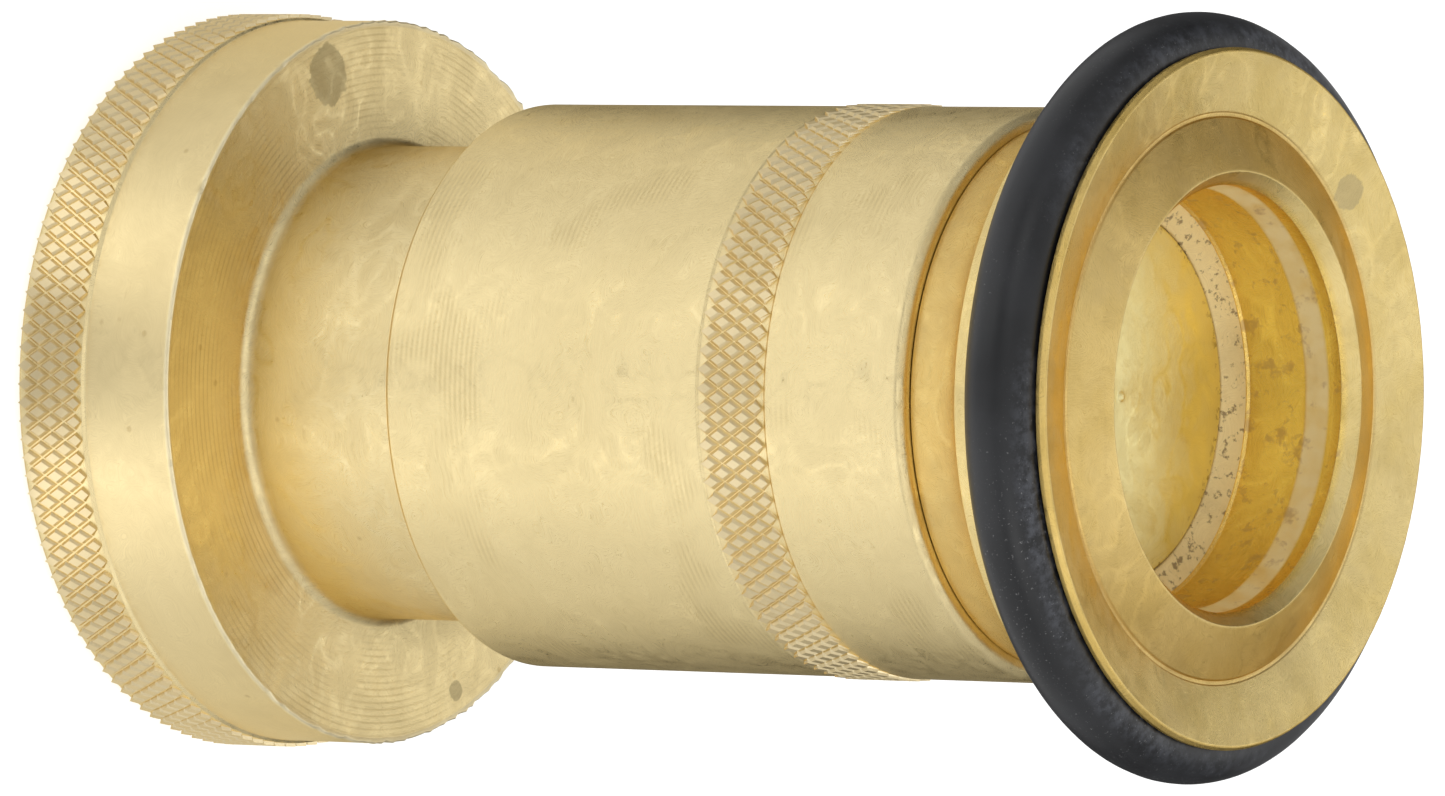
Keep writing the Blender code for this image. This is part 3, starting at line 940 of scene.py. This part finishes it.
def knurl_tree():
    tree = bpy.data.node_groups.new("knurl_rows", "GeometryNodeTree")
    for title, kind in KNURL_SIZES:
        tree.interface.new_socket(title, in_out="INPUT", socket_type=kind)
    tree.interface.new_socket("Geometry", in_out="OUTPUT", socket_type="NodeSocketGeometry")
    given = add(tree, "NodeGroupInput").outputs
    step = maths(tree, "DIVIDE", 2 * math.pi, given["Columns"])
    real = add(tree, "GeometryNodeRealizeInstances")
    wire(tree, knurl_studs(tree, given, step), real.inputs[0])
    shape = pressed_between(tree, real.outputs[0], given["Low edge"], given["High edge"])
    metal = add(tree, "GeometryNodeSetMaterial")
    wire(tree, shape, metal.inputs["Geometry"])
    wire(tree, given["Metal"], metal.inputs["Material"])
    wire(tree, metal.outputs[0], add(tree, "NodeGroupOutput").inputs[0])
    return tree


KNURL = knurl_tree()
print("knurl tree nodes", len(KNURL.nodes))

# %% [markdown]
# The tree runs as a modifier on an empty mesh. Its inputs are set by their identifiers
# before it is first evaluated, the result is kept as a plain mesh, and the modifier and
# its carrier are removed. The inlet's rim gets the first knurl.

# %% Rim knurl
def roll_knurl(name, sizes, body, slot):
    carrier = bpy.data.objects.new(name + "_maker", bpy.data.meshes.new(name + "_maker"))
    bpy.context.scene.collection.objects.link(carrier)
    rows = carrier.modifiers.new("knurl", "NODES")
    rows.node_group = KNURL
    for item in KNURL.interface.items_tree:
        if item.in_out == "INPUT":
            rows[item.identifier] = sizes[item.name]
    carrier.data.update()
    seen = carrier.evaluated_get(bpy.context.evaluated_depsgraph_get())
    mesh = bpy.data.meshes.new_from_object(seen)
    mesh.name = name
    carrier.modifiers.remove(rows)
    bpy.data.objects.remove(carrier, do_unlink=True)
    place(name, mesh, sizes["Metal"], body, slot=slot, smooth=12.0)
    top = max(math.hypot(v.co.x, v.co.y) for v in mesh.vertices)
    print(name, "top radius", round(top / MM, 2), "mm")


RIM = {"Columns": 126, "Rows": 5, "Radius": 33.75 * MM, "First row": 1.2 * MM,
       "Row pitch": 1.41 * MM, "Depth": 0.52 * MM, "Low edge": 0.45 * MM,
       "High edge": 7.5 * MM, "Flat": 0.60, "Metal": RIM_KNURL}
roll_knurl("rim_knurl", RIM, "base", "inlet_body")

# %% [markdown]
# A thread is a ridge that climbs as it turns. Its section is swept along the helix by
# hand, and both ends fade into the wall as a cut thread does. A Screw modifier would
# leave blunt ends.

# %% Threads
STEPS_A_TURN = 96
FADE_STEPS = 12
BURIED = 0.12


def thread_mesh(name, starts, lead, low, high, root, crest, root_w, crest_w, phase):
    bm = bmesh.new()
    steps = int((high - low) / lead * STEPS_A_TURN)
    buried = root + (BURIED if root > crest else -BURIED)
    for start in range(starts):
        rings = []
        for i in range(steps + 1):
            z = low + (high - low) * i / steps
            a = 2 * math.pi * ((z - low) / lead + start / starts) + phase
            fade = min(1.0, i / FADE_STEPS, (steps - i) / FADE_STEPS)
            tall = root + (crest - root) * fade
            wide = crest_w + (root_w - crest_w) * (1 - fade) * 0.3
            section = [(buried, -root_w / 2), (tall, -wide / 2), (tall, wide / 2),
                       (buried, root_w / 2)]
            x, y = math.cos(a), math.sin(a)
            rings.append([bm.verts.new((r * x * MM, r * y * MM, (z + dz) * MM))
                          for r, dz in section])
        for one, two in zip(rings, rings[1:]):
            for k in range(4):
                n = (k + 1) % 4
                bm.faces.new((one[k], one[n], two[n], two[k]))
        bm.faces.new(rings[0])
        bm.faces.new(list(reversed(rings[-1])))
    bmesh.ops.recalc_face_normals(bm, faces=bm.faces)
    mesh = bpy.data.meshes.new(name)
    bm.to_mesh(mesh)
    bm.free()
    return mesh


# Starts, lead, lowest and highest height, root and crest radius, root and crest width,
# and where round the axis the first start begins.
THREADS = [
    ("hose_thread", "base", "inlet_body", INLET,
     (1, 2.822, 2.5, 9.5, 25.6, 23.8, 2.2, 0.5, 0.0)),
    ("nose_thread", "base", "inlet_body", INLET,
     (2, 8.0, 54.0, 62.0, 20.6, 22.0, 2.5, 1.3, 0.0)),
    ("sleeve_thread", "sleeve", "sleeve_barrel", SLEEVE,
     (2, 8.0, 54.0, 72.75, 22.35, 21.0, 2.3, 1.2, math.pi / 2)),
]
for name, body, slot, mat, cut_to in THREADS:
    place(name, thread_mesh(name, *cut_to), mat, body, slot=slot)

# %% [markdown]
# The sleeve is a plain tube with a slightly raised knurled band near its front. The
# band's ground is turned below the tube's skin, so the knurl's grooves look cut in.

# %% Sleeve
sleeve_tube = [(25.3, 92.9, 0.3), (25.95, 92.2, 0.3), (25.95, 78.15, 0.1), (25.80, 77.98, 0.1),
               (25.80, 70.82, 0.1), (25.95, 70.65, 0.1), (25.95, 36.4, 0.2), (25.55, 36.0, 0.2),
               (22.75, 36.0), (22.35, 36.4), (22.35, 37.7), (24.0, 37.7), (24.0, 40.6),
               (22.35, 40.6), (22.35, 74.3), (21.0, 75.0), (21.0, 84.0), (23.6, 84.0),
               (23.6, 92.0), (23.38, 92.3, 0.05), (23.38, 92.9, 0.05)]
turn_piece("grip_sleeve", sleeve_tube, SLEEVE, "sleeve", "sleeve_barrel",
           wobble=ragged_edge((25.6, 36.1), 0.4, 0.06, 3.0), around=320)
GRIP = {"Columns": 96, "Rows": 5, "Radius": 25.72 * MM, "First row": 71.66 * MM,
        "Row pitch": 1.37 * MM, "Depth": 0.44 * MM, "Low edge": 70.85 * MM,
        "High edge": 77.95 * MM, "Flat": 0.55, "Metal": GRIP_KNURL}
roll_knurl("grip_knurl", GRIP, "sleeve", "sleeve_barrel")

# %% [markdown]
# The tip flares from a spigot inside the sleeve to a broad rim. Its front is a shallow V
# between the lip of the bore and the rim, and a round groove behind the rim holds the
# rubber. The cove behind it is a quarter of an ellipse. The bore wall is a little
# conical in one ring, which shows as a bright hoop.

# %% Tip
RING_R, RING_Z = 31.2, 107.2
COVE_R, COVE_Z, COVE_DEEP, COVE_TALL = 28.9, 93.5, 4.3, 6.95
COVE_STEPS = 24
tip_groove = arc(RING_R, RING_Z, 3.6, 87.5, 232, 40)
cove = []
for i in range(COVE_STEPS + 1):
    z = 100.2 - 6.7 * i / COVE_STEPS
    bow = math.sqrt(1 - ((z - COVE_Z) / COVE_TALL) ** 2)
    cove.append((COVE_R - COVE_DEEP * bow, z, 0))
tip_profile = [(20.3, 111.73, 0.12), (25.1, 109.95, 0.05), (25.22, 109.78, 0.03),
               (25.55, 109.80, 0.03), (25.65, 109.90, 0.03),
               (30.96, 111.66, 0.06), (31.16, 111.59, 0.08), (31.38, 111.2, 0.05)]
tip_profile += tip_groove
tip_profile += [(28.93, 100.55, 0.08), (28.8, 100.42, 0.05)] + cove
tip_profile += [(24.6, 92.98, 0.03), (23.3, 92.98, 0.03), (23.3, 86.0), (22.9, 85.6),
                (21.0, 85.6), (21.0, 92.7), (15.2, 93.0), (15.2, 95.0), (18.85, 95.0),
                (18.85, 100.3, 0.05), (19.08, 100.6, 0.1), (19.08, 104.0, 0.1),
                (18.85, 106.6, 0.15), (19.25, 108.9, 0.15), (19.1, 109.4, 0.1),
                (19.1, 110.33, 0.1)]
turn_piece("outlet_tip", tip_profile, TIP, "sleeve", "tip", cut=0.1,
           wobble=ragged_edge((31.2, 111.4), 0.4, 0.05, 9.0), around=360)

# %% [markdown]
# The bumper is a rubber ring stretched into its groove. A moulded ring is never a
# perfect torus, so its section swells and leans a little on the way round.

# %% Rubber bumper
def bumper_wobble(r, z, a):
    swell = 1.0 + 0.006 * noise.noise(Vector((math.cos(a) * 2, math.sin(a) * 2, 4.0)))
    lump = 0.02 * noise.noise(Vector((math.cos(a) * 9, math.sin(a) * 9, z * 0.6)))
    grow = swell - 0.006
    return RING_R + (r - RING_R) * grow + lump, RING_Z + (z - RING_Z) * grow


turn_piece("rubber_bumper", arc(RING_R, RING_Z, 3.36, 90, -265, 71), BUMPER, "sleeve",
           "bumper_ring", wobble=bumper_wobble)

# %% [markdown]
# The rest are small turned pieces, so one table makes them all. Most sit out of sight
# and only show from the inlet end or with the nozzle open.

# %% Small turned pieces
SMALL = [
    ("throat_disc", "stem_head", "base", DISC, False, 0.05,
     [(0.0, 99.35), (0.25, 99.28), (0.5, 99.05), (0.8, 99.0, 0.1), (8.0, 99.0, 0),
      (16.5, 99.0, 0.1), (16.68, 98.85, 0.1), (16.68, 97.3), (6.0, 97.3), (6.0, 95.3),
      (3.3, 95.3), (3.3, 97.9), (0.0, 97.9)]),
    ("throat_ring", "throat_seat", "sleeve", SEAT, True, 0.06,
     [(19.08, 100.38, 0.1), (19.08, 99.7), (18.8, 99.4), (18.8, 96.4), (16.4, 96.4), (16.8, 97.1),
      (16.8, 98.95, 0.2)]),
    ("disc_seal", "head_seal", "base", SEAL, True, 0.1,
     [(16.4, 97.0), (14.6, 95.2), (6.3, 95.2), (6.3, 97.0)]),
    ("disc_seal_retainer", "seal_retainer", "base", STEM, True, 0.1,
     [(13.4, 94.9), (13.4, 94.1), (7.0, 91.5), (3.3, 91.5), (3.3, 94.9)]),
    ("throat_ring_gasket", "seat_gasket", "sleeve", SEAL, True, 0.1,
     [(18.8, 96.1), (18.8, 95.3), (16.3, 95.3), (16.3, 96.1)]),
    ("tip_joint_gasket", "tip_gasket", "sleeve", SEAL, True, 0.1,
     [(23.3, 85.3), (23.3, 84.3), (21.3, 84.3), (21.3, 85.3)]),
    ("wiper_ring", "sleeve_wiper", "wiper", SEAL, True, 0.1,
     [(23.7, 40.3), (23.7, 38.0), (22.5, 38.0), (22.3, 38.4), (22.3, 39.9), (22.5, 40.3)]),
    ("nose_o_ring", "nose_seal", "base", SEAL, True, 0.0, arc(19.6, 76.9, 1.14, 90, -255, 23)),
    ("nose_backing_ring", "nose_backup_ring", "base", BACKING, True, 0.05,
     [(20.5, 78.9), (20.5, 78.3), (18.5, 78.3), (18.5, 78.9)]),
    ("hose_gasket", "inlet_gasket", "base", SEAL, True, 0.2,
     [(24.9, 13.7), (24.9, 10.9), (17.5, 10.9), (17.5, 13.7)]),
    ("stem_spindle", "stem_rod", "base", STEM, False, 0.15,
     [(0.0, 97.5), (2.6, 97.5), (3.0, 97.1), (3.0, 91.2), (4.6, 91.2), (5.2, 90.6), (4.0, 86.0),
      (4.0, 33.6), (6.4, 32.9), (6.4, 30.3), (4.0, 30.3), (4.0, 12.4), (3.6, 12.0), (0.0, 12.0)]),
]
for name, node, body, mat, closed, cut, profile in SMALL:
    turn_piece(name, profile, mat, body, node, cut, closed, 192)

# %% [markdown]
# A hexagon nut can be turned too: the radius of each ring follows the flats as it goes
# round, up to the round chamfer that a lathe leaves at both ends.

# %% Stem nut
HALF_FLATS = 6.5
NUT_BORE_LIMIT = 5.0


def hexagon(r, z, a):
    """Flats 13 mm apart, cut off by a cone at each end; the bore stays round."""
    if r < NUT_BORE_LIMIT:
        return r, z
    from_flat = (a + math.pi / 6) % (math.pi / 3) - math.pi / 6
    return min(HALF_FLATS / math.cos(from_flat), r), z


nut_profile = [(6.3, 18.5, 0), (6.6, 18.45, 0), (7.0, 18.22, 0), (7.5, 17.9, 0), (7.5, 14.1, 0),
               (7.0, 13.78, 0), (6.6, 13.55, 0), (6.3, 13.5, 0), (4.6, 13.5, 0), (4.3, 13.8, 0),
               (4.3, 18.2, 0), (4.6, 18.5, 0)]
turn_piece("stem_hex_nut", nut_profile, STEM, "base", "stem_nut", cut=0.0, around=192,
           wobble=hexagon)

# %% [markdown]
# The spider is one casting: a ring, a hub and three legs. The legs are boxes with
# rounded edges, joined by a Boolean so that no faces are left inside. The two split
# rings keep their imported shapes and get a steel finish.

# %% Stem spider
LEG_SIZE, LEG_CENTRE, LEG_ROUNDING = (8.9, 2.8, 5.6), (10.8, 0.0, 24.4), 0.5
LEGS, FIRST_LEG_TURN = 3, 30


def spider_mesh():
    def shell(name, profile):
        mesh = turned_mesh(name, soften(profile, True, 0.3), True, 128)
        obj = bpy.data.objects.new(name, mesh)
        bpy.context.scene.collection.objects.link(obj)
        return obj

    ring = shell("spider_ring_shell", [(16.7, 27.6), (16.7, 20.3), (14.6, 20.3), (14.6, 27.6)])
    others = [shell("spider_hub_shell", [(7.0, 30.0), (7.0, 20.3), (4.3, 20.3), (4.3, 30.0)])]
    for k in range(LEGS):
        bm = bmesh.new()
        bmesh.ops.create_cube(bm, size=1.0)
        bmesh.ops.scale(bm, vec=Vector(LEG_SIZE) * MM, verts=bm.verts)
        bmesh.ops.bevel(bm, geom=list(bm.edges), offset=LEG_ROUNDING * MM, segments=3,
                        affect="EDGES")
        swing = Matrix.Rotation(math.radians(360 / LEGS * k + FIRST_LEG_TURN), 4, "Z")
        shift = swing @ Matrix.Translation(Vector(LEG_CENTRE) * MM)
        bmesh.ops.transform(bm, matrix=shift, verts=bm.verts)
        mesh = bpy.data.meshes.new("spider_leg_shell")
        bm.to_mesh(mesh)
        bm.free()
        leg = bpy.data.objects.new("spider_leg_shell", mesh)
        bpy.context.scene.collection.objects.link(leg)
        others.append(leg)
    for other in others:
        join = ring.modifiers.new("join", "BOOLEAN")
        join.operation = "UNION"
        join.solver = "EXACT"
        join.object = other
    seen = ring.evaluated_get(bpy.context.evaluated_depsgraph_get())
    mesh = bpy.data.meshes.new_from_object(seen)
    for obj in [ring] + others:
        bpy.data.objects.remove(obj, do_unlink=True)
    return mesh


place("stem_spider_casting", spider_mesh(), STEM, "base", "stem_spider", smooth=40.0)
for node in ("spider_ring", "stem_lock_washer"):
    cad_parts[node].material_slots[0].material = STEEL
